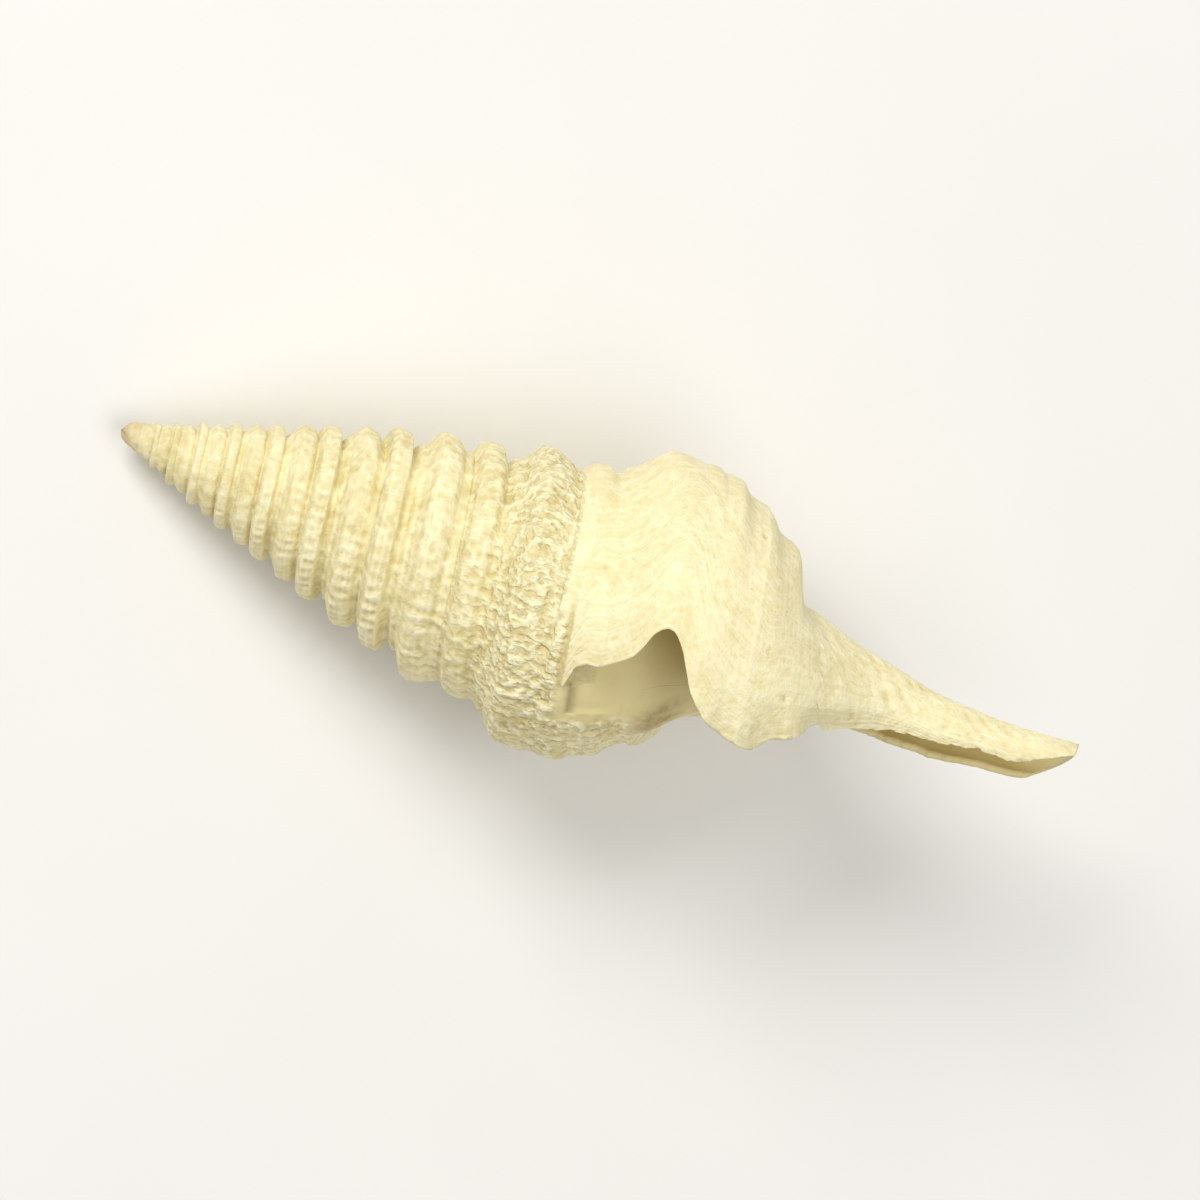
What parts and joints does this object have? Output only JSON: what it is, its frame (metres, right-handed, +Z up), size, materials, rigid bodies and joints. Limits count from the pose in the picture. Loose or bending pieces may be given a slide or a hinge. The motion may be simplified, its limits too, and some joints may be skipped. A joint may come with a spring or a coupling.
{
  "type": "turrid seashell",
  "caption": "Slender spindle-shaped sea snail shell: a tall keeled spire, a last whorl with a notched lip, and a long open canal.",
  "frame": {"origin": "the middle of the bounding box, on the floor that the shell rests on", "axes": "+Z up. +X runs along the shell from its tip to its canal, and the coiling axis rises to the canal. +Y is the side of the last whorl's back, and the mouth opens to -Y under the lip, which is uppermost."},
  "size_m": [0.0486, 0.0168, 0.0184],
  "materials": {
    "shell": "chalky, weathered"
  },
  "bodies": {
    "root": {"shell": "shell"}
  },
  "joints": []
}
